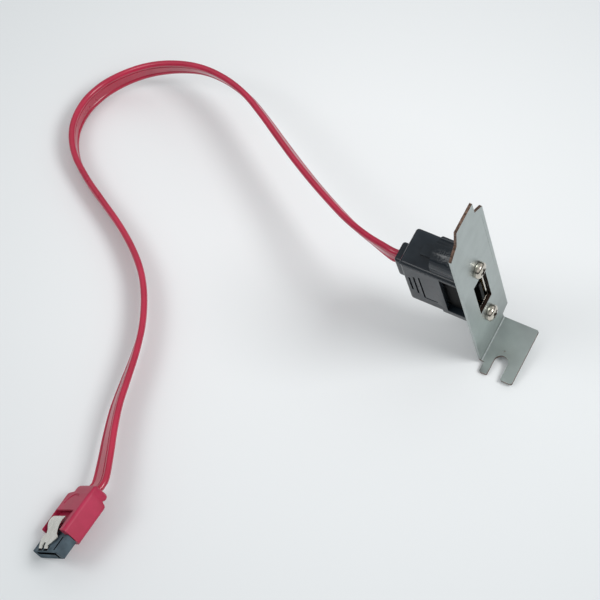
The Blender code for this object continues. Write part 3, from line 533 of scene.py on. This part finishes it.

# %% [markdown]
# Zinc-plated steel. The plating is a thin bright layer over rolled sheet, passivated to a cool
# grey-green, so it is a rough metal with very fine rolling marks along the strip and a slightly
# cloudy tone. Its colour is darkened towards the fold as painted shade. The fold's own inside is
# stretched and matt, and painted a darker grey as shade. Where the press sheared the sheet, bare
# steel shows copper brown; in the opening the cut faces are painted nearly black as shade.

# %% Bracket finish
zinc, shader = new_material("zinc_plated_steel", "#b0b7b6", 0.26, 0.92)
grain = own_axes(zinc, BRACKET_POSE, (1.0, 1.0, 0.05))
clouds = own_axes(zinc, BRACKET_POSE)
tone(zinc, shader, clouds, grain_size(5.0), "#a4acaa", "#aeb6b4", 6.0)
marks = add_node(zinc, "ShaderNodeTexNoise", {"Vector": grain}, Scale=grain_size(0.35), Detail=2.0)
vary_roughness(zinc, shader, marks.outputs["Fac"], 0.31, 0.40)
bump(zinc, shader, clouds, grain_size(0.5), 0.01, 0.12)
# Painted shade: the plating's colour is darkened to 0.71 towards the fold.
fold_way = add_node(zinc, "ShaderNodeVectorMath", {0: clouds}, operation="DOT_PRODUCT")
fold_way.inputs[1].default_value = (0.0, -2.0, 1.0)
fold_shade_factor = add_node(zinc, "ShaderNodeMapRange", {"Value": fold_way.outputs["Value"]},
                From_Min=2.0 * MM, From_Max=22.0 * MM, To_Min=0.71, To_Max=1.0)
cloudy_tone = shader.inputs["Base Color"].links[0].from_socket
fold_painted_shade = add_node(zinc, "ShaderNodeVectorMath", {0: cloudy_tone, 3: fold_shade_factor.outputs["Result"]},
                  operation="SCALE")
zinc.node_tree.links.new(fold_painted_shade.outputs["Vector"], shader.inputs["Base Color"])

# Painted shade: the fold's inside is a darker grey than the plating, and matt.
fold_shade_zinc, shader = new_material("zinc_fold_painted_shade", "#8e9594", 0.55, 0.6)
tone(fold_shade_zinc, shader, own_axes(fold_shade_zinc, BRACKET_POSE), grain_size(0.6), "#838a89", "#9aa1a0")

sheared, shader = new_material("sheared_steel_edge", "#553f36", 0.5, 0.6)
where = own_axes(sheared, BRACKET_POSE)
tone(sheared, shader, where, grain_size(0.8), "#2a1f1a", "#8d7161")
bump(sheared, shader, where, grain_size(0.4), 0.03, 0.4)

# Painted shade: nearly black steel for the opening's cut faces and the screw recesses.
recess_shade_steel, shader = new_material("steel_edge_painted_shade", "#231a16", 0.5, 0.3)
tone(recess_shade_steel, shader, own_axes(recess_shade_steel, BRACKET_POSE), grain_size(0.8), "#19120f", "#3a2a22")
shader.inputs["Specular IOR Level"].default_value = 0.2
set_down(slot_bracket, BRACKET_POSE, [zinc, sheared, fold_shade_zinc, recess_shade_steel], "bracket")

# %% [markdown]
# A pan-head screw is a disc whose face is pulled out ring by ring into a dome. The recess is two
# tapered wings cut from the top, narrower at the bottom as a real driver bit is, and its walls and
# floor are painted nearly black as shade. One screw is modelled and the second is a copy with its
# own mesh and a different turn.

# %% Screws
HEAD_RADIUS, HEAD_RIM, HEAD_SEAT = 2.5, -1.3, -0.08
DOME_RINGS = ((-0.26, 0.94), (-0.24, 0.88), (-0.18, 0.78), (-0.10, 0.60))
RECESS_SPAN, RECESS_WIDTH, RECESS_DEPTH, RECESS_FACE = 3.3, 0.95, 1.3, -2.1


def tapered_wing():
    """Make one wing of the cross recess: wide at the head's face, narrow at its bottom."""
    floor_y = RECESS_FACE + RECESS_DEPTH
    wing = block("wing_cut", (-RECESS_SPAN / 2, RECESS_FACE - 0.6, -RECESS_WIDTH / 2),
                 (RECESS_SPAN / 2, floor_y, RECESS_WIDTH / 2))
    choose(wing, "faces", lambda middle, way: way.y > 0.9)
    bpy.ops.transform.resize(value=(0.45, 1, 0.7), center_override=(0, floor_y * MM, 0))
    leave_edit()
    return wing


screw = bar("pan_head_screw", HEAD_RADIUS, HEAD_RIM, HEAD_SEAT, 0, 0, sides=48)
choose(screw, "faces", lambda middle, way: way.y < -0.999)
for rise, share in DOME_RINGS:
    pull((0, rise, 0), (share, 1, share))
choose(screw, "faces", lambda middle, way: way.y > 0.9)
bpy.ops.mesh.inset(thickness=1.05 * MM)
pull((0, 7.4, 0))
pull((0, 0.6, 0), (0.6, 1, 0.6))
leave_edit()
level, upright = tapered_wing(), tapered_wing()
upright.rotation_euler = (0, math.pi / 2, 0)
make_active(upright)
bpy.ops.object.transform_apply(location=True, rotation=True, scale=True)
carve(screw, [level, upright])
tidy_surface(screw, edge_mm=0.05, angle=40.0)
# Painted shade: the recess's walls and floor get the nearly black steel finish.
for face in screw.data.polygons:
    middle = face.center / MM
    from_axis = math.hypot(middle.x, middle.z)
    on_wall = middle.y < -0.6 and from_axis < 1.9 and abs(face.normal.y) < 0.75
    on_floor = -1.2 < middle.y < -0.6 and from_axis < 1.3
    face.material_index = 1 if on_wall or on_floor else 0

nickel, shader = new_material("nickel_plated_steel", "#cdc6ba", 0.09, 1.0)
where = room_axes(nickel)
noise = tone(nickel, shader, where, grain_size(1.5), "#c2baad", "#d6cfc4")
vary_roughness(nickel, shader, noise.outputs["Fac"], 0.06, 0.13)
bump(nickel, shader, where, grain_size(0.9), 0.02, 0.12)

for name, height, turn in (("upper", SCREW_HEIGHTS[0], 20.0), ("lower", SCREW_HEIGHTS[1], 65.0)):
    twin = screw.copy()
    twin.data = screw.data.copy()
    twin.name = "pan_head_screw_" + name
    bpy.context.scene.collection.objects.link(twin)
    twin.matrix_world = (Matrix.Translation(Vector((SCREW_X, 0, height)) * MM)
                         @ Matrix.Rotation(math.radians(turn), 4, "Y"))
    set_down(twin, BRACKET_POSE, [nickel, recess_shade_steel], "screw_" + name)
bpy.data.objects.remove(screw, do_unlink=True)

# %% [markdown]
# The black body is one PVC moulding round the socket: a box with soft edges, a flange with round
# ends where the screws bite, a collar that grips the cable, and a small block and a lip on top.
# Each form is a primitive with its own bevel, and they are welded before the pockets, the side
# window and the engraved lines are cut. The lettering of a real one is left off.

# %% Socket body: welding the forms
def rounded_block(name, low, high, radius, segments=4):
    """Add a block with every edge rounded over."""
    item = block(name, low, high)
    choose(item, "edges", lambda middle, way: True)
    bpy.ops.mesh.bevel(offset=radius * MM, segments=segments, profile=0.5, affect="EDGES")
    leave_edit()
    return item


BODY_LEFT, BODY_FRONT, FLANGE_RADIUS, FLANGE_BACK = 3.45, 1.16, 5.0, 12.36
FLANGE_TOP, FLANGE_BOTTOM = SCREW_HEIGHTS
moulded_body = rounded_block("moulded_body", (BODY_LEFT, BODY_FRONT, 18.6),
                             (15.25, 22.06, 43.8), 1.0)
carve(moulded_body, [
    block("flange_middle", (SCREW_X - FLANGE_RADIUS, BODY_FRONT, FLANGE_BOTTOM),
          (SCREW_X + FLANGE_RADIUS, FLANGE_BACK, FLANGE_TOP)),
    bar("flange_top", FLANGE_RADIUS, BODY_FRONT, FLANGE_BACK, SCREW_X, FLANGE_TOP, sides=48),
    bar("flange_bottom", FLANGE_RADIUS, BODY_FRONT, FLANGE_BACK, SCREW_X, FLANGE_BOTTOM, sides=48),
    rounded_block("cable_collar", (6.15, 20.2, 26.0), (12.55, 26.26, 36.4), 0.9),
    rounded_block("top_block", (7.7, 13.8, 42.8), (10.9, 17.4, 45.0), 0.25, 2),
    rounded_block("edge_lip", (3.3, 1.2, 42.75), (4.0, 21.8, 43.45), 0.2, 2),
], "UNION")

# %% Socket body: pockets, window and engraved lines
cuts = [
    block("block_pocket_cut", (4.9, 0, 21.3), (13.4, 10.26, 40.9)),
    block("window_cut", (-5, 0, 20.6), (25, 9.66, 41.8)),
    block("lip_line_cut", (BODY_LEFT - 0.3, 1.9, 42.3), (BODY_LEFT + 0.3, 21.5, 42.62)),
] + [
    block(name, (BODY_LEFT - 0.45, *low), (BODY_LEFT + 0.45, *high))
    for name, low, high in (
        ("first_line_cut", (19.74, 26.6), (20.34, 34.95)),
        ("second_line_cut", (18.08, 25.2), (18.68, 36.45)),
        ("corner_line_cut", (16.26, 23.5), (16.86, 37.5)),
        ("corner_foot_cut", (12.46, 23.5), (16.5, 24.1)),
    )
]
cuts += [bar("insert_bore_cut", 2.8, 0, 9.0, SCREW_X, height) for height in SCREW_HEIGHTS]
carve(moulded_body, cuts)
tidy_surface(moulded_body, edge_mm=0.16, angle=40.0)

# %% [markdown]
# Black PVC from a steel mould. It is dark grey rather than black, with a satin skin that catches
# long highlights on its edges, and a spark-eroded grain too fine to see except as a softening. One
# patch on the flange's rounded top holds pale grey specks.

# %% Socket body finish
black_pvc, shader = new_material("black_pvc_moulding", "#1e262d", 0.24)
where = own_axes(black_pvc, BRACKET_POSE)
noise = tone(black_pvc, shader, where, grain_size(4.0), "#1a2229", "#242c33")
vary_roughness(black_pvc, shader, noise.outputs["Fac"], 0.18, 0.30)
bump(black_pvc, shader, where, grain_size(0.35), 0.02, 0.25)
shader.inputs["Specular IOR Level"].default_value = 0.35
# Pale grey specks within one patch on the flange's rounded top.
along = own_axes(black_pvc, BRACKET_POSE, (1.0, 0.5, 1.0))
away = add_node(black_pvc, "ShaderNodeVectorMath", {0: along}, operation="DISTANCE")
away.inputs[1].default_value = (7.3 * MM, 3.4 * MM, 50.8 * MM)
patch = add_node(black_pvc, "ShaderNodeMapRange", {"Value": away.outputs["Value"]},
                 From_Min=1.0 * MM, From_Max=2.8 * MM, To_Min=1.0, To_Max=0.0)
specks = add_node(black_pvc, "ShaderNodeTexNoise", {"Vector": where},
                  Scale=grain_size(0.5), Detail=3.0)
speck_mask = add_node(black_pvc, "ShaderNodeMapRange", {"Value": specks.outputs["Fac"]},
                From_Min=0.46, From_Max=0.6)
pale_speck_patch = add_node(black_pvc, "ShaderNodeMath",
                 {0: patch.outputs["Result"], 1: speck_mask.outputs["Result"]}, operation="MULTIPLY")
plain_tone = shader.inputs["Base Color"].links[0].from_socket
MIX_FACTOR, MIX_FIRST, MIX_SECOND, MIX_RESULT = 0, 6, 7, 2
blend = add_node(black_pvc, "ShaderNodeMix",
                 {MIX_FACTOR: pale_speck_patch.outputs["Value"], MIX_FIRST: plain_tone}, data_type="RGBA")
blend.inputs[MIX_SECOND].default_value = linear("#565a5c")
black_pvc.node_tree.links.new(blend.outputs[MIX_RESULT], shader.inputs["Base Color"])
set_down(moulded_body, BRACKET_POSE, black_pvc, "socket_body")

# %% [markdown]
# Inside the opening most solids are right as they are: an insulator with its tongue and seven
# contacts. They keep their meshes and only get their real finishes. The contacts are gold over
# phosphor bronze, and the threaded inserts behind the screws are plain brass.

# %% Small solids that keep their shape
# The same black finish is painted on the nose's slot and groove faces as shade.
black_nylon_and_slot_shade, shader = new_material("black_nylon_and_painted_slot_shade", "#050607", 0.5)
where = room_axes(black_nylon_and_slot_shade)
tone(black_nylon_and_slot_shade, shader, where, grain_size(2.0), "#030405", "#08090b")
bump(black_nylon_and_slot_shade, shader, where, grain_size(0.4), 0.02, 0.2)
shader.inputs["Specular IOR Level"].default_value = 0.06

gold_plate, shader = new_material("gold_plated_contact", "#d9b25e", 0.25, 1.0)
where = room_axes(gold_plate)
tone(gold_plate, shader, where, grain_size(1.0), "#cfa550", "#e2be70")

turned_brass, shader = new_material("turned_brass", "#b98f45", 0.35, 1.0)
where = own_axes(turned_brass, BRACKET_POSE, (1.0, 8.0, 1.0))
tone(turned_brass, shader, where, grain_size(0.8), "#a88040", "#c69c52")


def dress(node, material):
    """Give a CAD node a real finish in place of its plain one."""
    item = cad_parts[node]
    for slot in item.material_slots:
        slot.material = material


CONTACTS = range(1, 8)
dress("receptacle_block", black_nylon_and_slot_shade)
for index in CONTACTS:
    dress("socket_contact_%d" % index, gold_plate)
    dress("plug_contact_%d" % index, gold_plate)
dress("threaded_insert_upper", turned_brass)
dress("threaded_insert_lower", turned_brass)
print("solids that keep their shape:", 3 + 2 * len(CONTACTS))

# %% [markdown]
# The metal shell lines the opening. It is a thin square tube, and one folded guide strip stands in
# front of the contacts, whose edge is the bright line that shows in the opening.

# %% Socket shell
shell = block("shielding_shell", (6.1, 0.95, 22.5), (12.2, 8.5, 39.7))
carve(shell, [block("shell_bore_cut", (6.5, -1, 22.9), (11.8, 9.5, 39.3))])
carve(shell, [block("guide_strip", (10.5, 0.14, 28.4), (11.05, 5.6, 39.5))], "UNION")
tidy_surface(shell, edge_mm=0.05, angle=40.0)
set_down(shell, BRACKET_POSE, nickel, "socket_shell")

# %% [markdown]
# The plug's grip is moulded over the end of the cable. It starts as a rounded block along Y. The
# back is drawn in to a waist, out again to a soft collar and down to the cable, one ring at a time.
# The window over the latch and the thumb arc are cut afterwards.

# %% Plug grip
def ring_out(item, back, stations):
    """Pull the back face along Y through stations of distance, left, right, bottom and top."""
    choose(item, "faces", lambda middle, way: way.y > 0.99 and middle.y > back - 0.01)
    mesh = bmesh.from_edit_mesh(item.data)
    for distance, left, right, bottom, top in stations:
        rim = [vert.co / MM for vert in mesh.verts if vert.select]
        low = Vector((min(place.x for place in rim), min(place.z for place in rim)))
        high = Vector((max(place.x for place in rim), max(place.z for place in rim)))
        bpy.ops.mesh.extrude_region_move()
        mesh = bmesh.from_edit_mesh(item.data)
        for vert in mesh.verts:
            if vert.select:
                across = (vert.co.x / MM - low.x) / (high.x - low.x)
                upward = (vert.co.z / MM - low.y) / (high.y - low.y)
                vert.co = Vector((left + (right - left) * across, distance,
                                  bottom + (top - bottom) * upward)) * MM
        bmesh.update_edit_mesh(item.data)
    leave_edit()


GRIP_BACK = 18.3
WAIST_AND_COLLAR = (
    (18.7, -6.8, 6.88, -3.2, 3.28), (19.0, -6.2, 6.84, -2.85, 3.25),
    (19.2, -5.2, 6.8, -2.35, 3.22), (19.35, -4.2, 6.76, -1.9, 3.2),
    (19.6, -3.9, 6.7, -1.65, 3.18), (19.85, -3.95, 6.66, -1.75, 3.16),
    (20.2, -4.1, 6.6, -2.05, 3.14), (20.8, -4.15, 6.5, -2.2, 3.08),
    (21.4, -4.1, 6.25, -2.15, 2.95), (21.85, -3.95, 5.8, -2.0, 2.7),
    (22.1, -3.8, 5.3, -1.85, 2.35), (22.25, -3.7, 4.8, -1.65, 1.9),
)
grip = block("plug_grip", (-7.0, 6.0, -3.3), (6.9, GRIP_BACK, 3.3))
choose(grip, "edges", lambda middle, way: abs(way.y) > 0.9)
bpy.ops.mesh.bevel(offset=1.0 * MM, segments=5, profile=0.5, affect="EDGES")
leave_edit()
ring_out(grip, GRIP_BACK, WAIST_AND_COLLAR)
carve(grip, [
    block("neck_pocket_cut", (-5.9, 5.0, -1.96), (5.9, 13.9, 1.14)),
    block("latch_window_cut", (-6.4, 5.0, 0.54), (4.4, 8.6, 5.0)),
    block("latch_floor_cut", (-6.4, 8.0, 1.5), (4.4, 12.9, 5.0)),
    block("latch_tail_cut", (-5.9, 12.5, 1.5), (3.9, 15.4, 2.6)),
])

# %% Plug grip: thumb arc
deselect()
bpy.ops.mesh.primitive_circle_add(vertices=12, radius=0.38 * MM, fill_type="NGON",
                                  location=(3.9 * MM, 0, 0), rotation=(math.pi / 2, 0, 0))
arc_tool = bpy.context.object
bpy.ops.object.transform_apply(location=True, rotation=True, scale=True)
choose(arc_tool, "faces", lambda middle, way: True)
bpy.ops.mesh.spin(steps=20, angle=math.radians(-112), center=(0, 0, 0), axis=(0, 0, 1))
bpy.ops.mesh.select_all(action="SELECT")
bpy.ops.mesh.normals_make_consistent(inside=False)
leave_edit()
arc_tool.rotation_euler = (0, 0, math.radians(58))
arc_tool.location = (-0.4 * MM, 14.4 * MM, 3.35 * MM)
carve(grip, [arc_tool])
tidy_surface(grip, edge_mm=0.14, angle=40.0)

# %% [markdown]
# The grip is the cable's own crimson PVC, but moulded against a blasted steel tool, so it is duller
# than the jacket and a little paler where it has been handled.

# %% Plug grip finish
red_grip, shader = new_material("red_pvc_moulding", "#b01c45", 0.5)
where = own_axes(red_grip, PLUG_POSE)
noise = tone(red_grip, shader, where, grain_size(5.0), "#a2183d", "#b4204a")
vary_roughness(red_grip, shader, noise.outputs["Fac"], 0.44, 0.56)
bump(red_grip, shader, where, grain_size(0.45), 0.03, 0.3)
shader.inputs["Sheen Weight"].default_value = 0.05
set_down(grip, PLUG_POSE, red_grip, "plug_overmould")

# %% [markdown]
# The nose is a hard slate-grey moulding: a flat box with one corner off, an L-shaped slot that
# only fits one way round, and two pockets that take the latch's prongs. A neck behind it is buried
# in the grip. Crisp 0.1 mm edge breaks are what make it read as hard plastic beside the soft grip.

# %% Plug nose
nose = block("plug_nose", (-7.5, 0.0, -1.96), (7.0, 5.7, 1.14))
choose(nose, "edges", lambda middle, way: abs(way.y) > 0.9 and middle.x < 0 and middle.z < 0)
bpy.ops.mesh.bevel(offset=0.5 * MM, segments=1, affect="EDGES")
leave_edit()
carve(nose, [block("buried_neck", (-5.6, 4.8, -1.66), (5.6, 13.6, 0.84))], "UNION")
carve(nose, [
    block("slot_cut", (-5.8, -1.0, -0.25), (5.4, 5.4, 0.66)),
    block("slot_key_cut", (4.2, -1.0, -1.5), (5.4, 5.4, 0.0)),
    block("left_prong_cut", (-4.95, 0.2, 0.95), (-2.45, 1.8, 2.0)),
    block("right_prong_cut", (-1.75, 0.2, 0.95), (0.75, 1.8, 2.0)),
    block("guide_groove_cut", (4.15, 0.6, 0.78), (4.85, 5.2, 2.0)),
])
tidy_surface(nose, edge_mm=0.1, angle=40.0)
# Painted shade: the slot's and the guide groove's inner faces get the black nylon colour.
for face in nose.data.polygons:
    middle = face.center / MM
    in_slot = -5.85 < middle.x < 5.45 and -1.55 < middle.z < 0.7 and 0.12 < middle.y < 5.5
    in_groove = 0.7 < middle.z < 1.04 and middle.x < 4.9 and 0.15 < middle.y < 5.3
    face.material_index = 1 if in_slot or in_groove else 0

slate, shader = new_material("slate_nylon_moulding", "#46535c", 0.42)
where = own_axes(slate, PLUG_POSE)
noise = tone(slate, shader, where, grain_size(3.0), "#3b474f", "#516069")
vary_roughness(slate, shader, noise.outputs["Fac"], 0.34, 0.5)
bump(slate, shader, where, grain_size(0.4), 0.03, 0.35)
shader.inputs["Specular IOR Level"].default_value = 0.18
set_down(nose, PLUG_POSE, [slate, black_nylon_and_slot_shade], "plug_housing")

# %% [markdown]
# The latch is a spring pressed from 0.3 mm strip. A plane of three columns is laid out row by row,
# each row placed by its station, which gives the hump, the waist and the wide catch. The outer
# columns are then pulled on and narrowed into the prongs, and only then does the strip get its
# thickness. A station is a distance, a height and the strip's left and right edge.

# %% Latch clip
LATCH_STATIONS = (
    (2.5, 1.90, -5.25, 1.75), (3.8, 2.05, -5.5, 3.1), (4.7, 2.15, -5.5, 3.2),
    (5.4, 2.25, -4.4, 2.0), (6.3, 2.60, -4.3, 1.8), (7.3, 3.05, -4.8, 1.9),
    (8.3, 3.35, -5.3, 2.1), (9.3, 3.45, -5.5, 2.1), (10.2, 3.30, -5.5, 2.0),
    (10.9, 3.05, -5.4, 1.8),
)
LATCH_STRIP = 0.3
PRONG_STATIONS = ((1.5, 1.75), (0.8, 1.35))
PRONG_EDGES = (-4.65, -2.75, -1.45, 0.45)
last_row = len(LATCH_STATIONS) - 1
deselect()
bpy.ops.mesh.primitive_grid_add(x_subdivisions=3, y_subdivisions=last_row, size=1.0)
clip = bpy.context.object
clip.name = "spring_clip"
for vert in clip.data.vertices:
    y, z, left, right = LATCH_STATIONS[round((vert.co.y + 0.5) * last_row)]
    across = (left, PRONG_EDGES[1], PRONG_EDGES[2], right)
    vert.co = Vector((across[round((vert.co.x + 0.5) * 3)], y, z)) * MM
choose(clip, "edges", lambda middle, way: middle.y < 2.51 and (middle.x < -2.7 or middle.x > -1.5))
for y, z in PRONG_STATIONS:
    bpy.ops.mesh.extrude_region_move(TRANSFORM_OT_translate={"value": (0, -0.5 * MM, 0)})
    mesh = bmesh.from_edit_mesh(clip.data)
    for vert in mesh.verts:
        if vert.select:
            x = min(PRONG_EDGES, key=lambda edge: abs(edge - vert.co.x / MM))
            vert.co = Vector((x, y, z)) * MM
    bmesh.update_edit_mesh(clip.data)
bpy.ops.mesh.select_all(action="SELECT")
bpy.ops.mesh.normals_make_consistent(inside=False)
leave_edit()
if clip.data.polygons[0].normal.z < 0:
    clip.data.flip_normals()
finish_modifier(clip, "SOLIDIFY", thickness=LATCH_STRIP * MM, offset=-1.0)
tidy_surface(clip, edge_mm=0.05, angle=14.0)

# %% [markdown]
# Spring steel strip, blanked and left bright. It was rolled, so it carries fine straight marks
# along its length, and it reflects the white room as a soft grey-white.

# %% Latch finish
spring_steel, shader = new_material("spring_steel_strip", "#d2d0c8", 0.26, 1.0)
grain = own_axes(spring_steel, PLUG_POSE, (1.0, 0.08, 1.0))
noise = tone(spring_steel, shader, grain, grain_size(0.4), "#c6c4bb", "#dedcd5")
vary_roughness(spring_steel, shader, noise.outputs["Fac"], 0.2, 0.32)
bump(spring_steel, shader, grain, grain_size(0.3), 0.01, 0.15)
set_down(clip, PLUG_POSE, spring_steel, "latch_clip", body="latch")

# %% [markdown]
# The stage is a sheet of pale card. Its colour makes the background, painted a shade darker away
# from the middle as a falloff of the lamps' light, and it takes the soft shadows that tell how high
# the cable rides above it.

# %% Stage
deselect()
bpy.ops.mesh.primitive_plane_add(size=6.0, location=(0.0, 0.0, -0.0001))
floor = bpy.context.object
floor.name = "pale_card"
card, shader = new_material("pale_card", "#f0f3f4", 0.75)
where = room_axes(card)
# Painted light: the card's colour falls off away from the middle like a pool of lamp light.
away = add_node(card, "ShaderNodeVectorMath", {0: where}, operation="DISTANCE")
away.inputs[1].default_value = (-0.03, 0.05, 0.0)
painted_light_falloff = add_node(card, "ShaderNodeMapRange", {"Value": away.outputs["Value"]},
                From_Min=0.04, From_Max=0.19)
blend = add_node(card, "ShaderNodeValToRGB", {"Fac": painted_light_falloff.outputs["Result"]})
blend.color_ramp.elements[0].color = linear("#f0f3f4")
blend.color_ramp.elements[1].color = linear("#d6dadc")
card.node_tree.links.new(blend.outputs["Color"], shader.inputs["Base Color"])
shader.inputs["Specular IOR Level"].default_value = 0.2
floor.data.materials.append(card)
print("stage: %.0f m of card" % floor.dimensions.x)

# %% [markdown]
# Two soft lamps from the front, one on each side, and a white room. Its ceiling is dimmer and so
# is the foot of its walls, which gives the bright metal something dark to mirror. The right lamp is
# the stronger: its shadows fall up and to the left, as in the photograph, and the left one's faint
# shadows fall to the right. A white surface renders just under full white.

# %% Lamps and room
LAMP_AIM = (-0.05, 0.02, 0.0)


def soft_lamp(name, place, size, power):
    """Add a round area lamp that looks at the middle of the part."""
    data = bpy.data.lights.new(name, "AREA")
    data.shape = "DISK"
    data.size = size
    data.energy = power
    lamp = bpy.data.objects.new(name, data)
    lamp.location = place
    lamp.rotation_euler = (Vector(LAMP_AIM) - Vector(place)).to_track_quat("-Z", "Y").to_euler()
    bpy.context.scene.collection.objects.link(lamp)


soft_lamp("right_lamp", (0.46, -0.20, 0.74), 0.38, 3.65)
soft_lamp("left_lamp", (-0.70, -0.22, 0.86), 0.46, 2.2)

ROOM_TONES = (
    (0.0, (0.05, 0.051, 0.053)), (0.24, (0.10, 0.102, 0.105)), (0.56, (0.90, 0.905, 0.91)),
    (0.72, (0.98, 0.985, 0.99)), (0.92, (0.70, 0.71, 0.72)), (1.0, (0.62, 0.63, 0.64)),
)

world = bpy.data.worlds.new("white_room")
world.use_nodes = True
nodes = world.node_tree.nodes
links = world.node_tree.links
background = nodes["Background"]
direction = nodes.new("ShaderNodeTexCoord")
height = nodes.new("ShaderNodeSeparateXYZ")
sweep = nodes.new("ShaderNodeValToRGB")
links.new(direction.outputs["Generated"], height.inputs["Vector"])
links.new(height.outputs["Z"], sweep.inputs["Fac"])
links.new(sweep.outputs["Color"], background.inputs["Color"])
stops = sweep.color_ramp.elements
for place, tint in ROOM_TONES[1:-1]:
    stops.new(place)
for stop, (place, tint) in zip(stops, ROOM_TONES):
    stop.position = place
    stop.color = (*tint, 1.0)
background.inputs["Strength"].default_value = 0.77
bpy.context.scene.world = world
bpy.context.scene.view_settings.view_transform = "Standard"
print("room tones from the floor up:", len(ROOM_TONES))

# %% [markdown]
# The plug's pieces, which hang on the cable's far end, are gathered last.

plug_pieces = [grip, nose, clip]
plug_pieces += [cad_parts["plug_contact_%d" % index] for index in CONTACTS]
